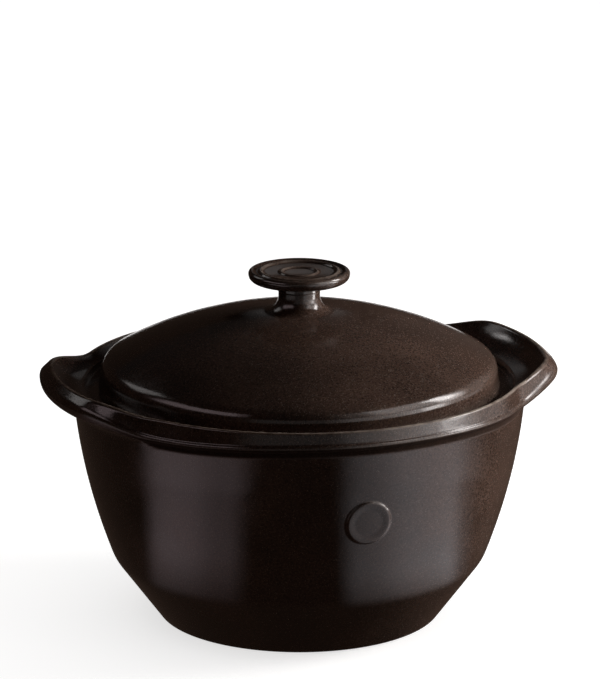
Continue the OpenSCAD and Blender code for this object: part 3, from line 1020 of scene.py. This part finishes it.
def card_material(name, near, far, wash, base, sectors):
    """A dark card with pale sectors, which start at one distance from the axis and are full at another."""
    material = bpy.data.materials.new(name)
    tree, out = blank_nodes(material, "ShaderNodeOutputMaterial")
    split = tree.nodes.new("ShaderNodeSeparateXYZ")
    tree.links.new(tree.nodes.new("ShaderNodeTexCoord").outputs["Object"], split.inputs[0])
    away = math_node(tree, "MULTIPLY", split.outputs["Y"], -1.0)
    bearing_of = math_node(tree, "ARCTAN2", split.outputs["X"], away)
    total = None
    for low, high, soft, strength in sectors:
        mask = band_mask(tree, bearing_of, math.radians(low), math.radians(high), math.radians(soft))
        part = math_node(tree, "MULTIPLY", mask, strength)
        total = part if total is None else math_node(tree, "ADD", total, part)
    xx = math_node(tree, "MULTIPLY", split.outputs["X"], split.outputs["X"])
    yy = math_node(tree, "MULTIPLY", split.outputs["Y"], split.outputs["Y"])
    reach = math_node(tree, "SQRT", math_node(tree, "ADD", xx, yy))
    total = math_node(tree, "MULTIPLY", total, ramp(tree, reach, near, far))
    gloss = tree.nodes.new("ShaderNodeLightPath").outputs["Is Glossy Ray"]
    glow = add_node(tree, "ShaderNodeEmission", Color=(*wash, 1))
    tree.links.new(math_node(tree, "MULTIPLY", total, gloss), glow.inputs["Strength"])
    warm = add_node(tree, "ShaderNodeEmission", Color=WARM_FILL, Strength=base)
    add_up(tree, out, glow, warm)
    return material


def ring_mesh(inner, outer, low=-180, high=180):
    """A flat ring on the floor, or the part of it from one bearing to another, in degrees."""
    count = RING_STEPS * (high - low) // 360
    verts, faces = [], []
    for i in range(count + 1):
        a = math.radians(low + (high - low) * i / count)
        x, y = math.sin(a), -math.cos(a)
        verts += [(inner * x, inner * y, 0), (outer * x, outer * y, 0)]
    for i in range(count):
        faces.append((2 * i, 2 * i + 1, 2 * i + 3, 2 * i + 2))
    return verts, faces


def panel_mesh(radius, low, high, bottom, top, count):
    """An upright curved panel round the pot, from one bearing to another, in degrees."""
    verts, faces = [], []
    for i in range(count + 1):
        a = math.radians(low + (high - low) * i / count)
        x, y = radius * math.sin(a), -radius * math.cos(a)
        verts += [(x, y, bottom), (x, y, top)]
    for i in range(count):
        faces.append((2 * i, 2 * i + 2, 2 * i + 3, 2 * i + 1))
    return verts, faces


def area_lamp(name, look, place, aim, width, height, watts, tint):
    data = bpy.data.lights.new(name, "AREA")
    data.shape = "RECTANGLE"
    data.size = width
    data.size_y = height
    data.energy = watts
    data.color = tint
    lamp = put_in_scene(name, data)
    lamp.location = stage_place(look, *place)
    lamp.rotation_euler = (stage_place(look, *aim) - lamp.location).to_track_quat("-Z", "Y").to_euler()
    lamp.visible_camera = False
    lamp.visible_glossy = False


def set_world(scene, ambient):
    """White behind the pot, a dark studio ceiling in the gloss and a little even light."""
    world = bpy.data.worlds.new("studio")
    scene.world = world
    tree, out = blank_nodes(world, "ShaderNodeOutputWorld")
    camera, gloss = background_rays(tree)
    split = tree.nodes.new("ShaderNodeSeparateXYZ")
    tree.links.new(tree.nodes.new("ShaderNodeTexCoord").outputs["Generated"], split.inputs[0])
    backdrop = ramp(tree, split.outputs["Z"], 0.02, 0.12, 1.0, 0.015)
    in_gloss = math_node(tree, "MULTIPLY", gloss, backdrop)
    seen = math_node(tree, "MAXIMUM", camera, gloss)
    rest = math_node(tree, "MULTIPLY", math_node(tree, "SUBTRACT", 1.0, seen), ambient)
    white = add_node(tree, "ShaderNodeBackground", Color=(1, 1, 1, 1))
    tree.links.new(math_node(tree, "ADD", camera, in_gloss), white.inputs["Strength"])
    fill = add_node(tree, "ShaderNodeBackground", Color=WARM_FILL)
    tree.links.new(rest, fill.inputs["Strength"])
    add_up(tree, out, white, fill)


def set_camera(scene, look):
    data = bpy.data.cameras.new("photo_camera")
    data.sensor_width = SENSOR
    data.lens = look.focal_px * SENSOR / IMAGE_H
    data.shift_x = SHIFT_PX / IMAGE_H
    camera = put_in_scene("photo_camera", data)
    level = look.distance * math.cos(look.elevation)
    target = Vector((0, 0, look.look_z))
    camera.location = target + stage_place(look, 0, -level, look.distance * math.sin(look.elevation))
    camera.rotation_euler = (target - camera.location).to_track_quat("-Z", "Y").to_euler()
    scene.camera = camera


class CASSEROLE_OT_stage(Operator):
    """Set the camera, the floor, the lamp and the cards that the glaze reflects"""

    bl_idname = "casserole.stage"
    bl_label = "Stage"

    def execute(self, context):
        scene = context.scene
        look = scene.casserole_stage
        scene.view_settings.view_transform = "Standard"
        set_camera(scene, look)
        set_world(scene, look.ambient)
        floor = stage_mesh("floor", *ring_mesh(*FLOOR_RING), floor_material())
        floor.location.z = FLOOR_Z
        for name, ring, light, tint, fill, bounce, sectors in FLOOR_CARDS:
            card = stage_mesh(name, *ring_mesh(*ring), card_material(name, *light, tint, fill, sectors))
            card.location.z = CARD_Z
            card.rotation_euler.z = -look.azimuth
            card_only(card, bounce)
        for name, panel, tint, fill, sectors in WALL_CARDS:
            card = stage_mesh(name, *panel_mesh(*panel), card_material(name, *WHOLE, tint, fill, sectors))
            card.rotation_euler.z = -look.azimuth
            card_only(card, False)
        area_lamp("key", look, place=(0.79, 0.12, 0.36), aim=(0, 0, 0.12), width=0.40, height=0.40,
                  watts=look.key, tint=(1.0, 0.97, 0.94))
        return {"FINISHED"}


class CASSEROLE_PT_panel(Panel):
    """Lists the pieces and their settings"""

    bl_idname = "CASSEROLE_PT_panel"
    bl_label = "Casserole"
    bl_space_type = "VIEW_3D"
    bl_region_type = "UI"
    bl_category = "Casserole"

    def draw(self, context):
        for operator in OPERATORS:
            self.layout.operator(operator.bl_idname)
        for key, group in SETTINGS:
            box = self.layout.box()
            for name in group.__annotations__:
                box.prop(getattr(context.scene, key), name)


SETTINGS = (
    ("casserole_pot", PotSizes),
    ("casserole_lid", LidSizes),
    ("casserole_glaze", GlazeLook),
    ("casserole_stage", StageLook),
)
OPERATORS = (CASSEROLE_OT_pot, CASSEROLE_OT_lid, CASSEROLE_OT_knob, CASSEROLE_OT_stage)


def register():
    for key, group in SETTINGS:
        bpy.utils.register_class(group)
        setattr(bpy.types.Scene, key, PointerProperty(type=group))
    for operator in OPERATORS:
        bpy.utils.register_class(operator)
    bpy.utils.register_class(CASSEROLE_PT_panel)


def unregister():
    bpy.utils.unregister_class(CASSEROLE_PT_panel)
    for operator in reversed(OPERATORS):
        bpy.utils.unregister_class(operator)
    for key, group in reversed(SETTINGS):
        delattr(bpy.types.Scene, key)
        bpy.utils.unregister_class(group)


def main():
    register()
    bpy.ops.casserole.pot()
    bpy.ops.casserole.lid()
    bpy.ops.casserole.knob()
    bpy.ops.casserole.stage()


if __name__ == "__main__":
    main()
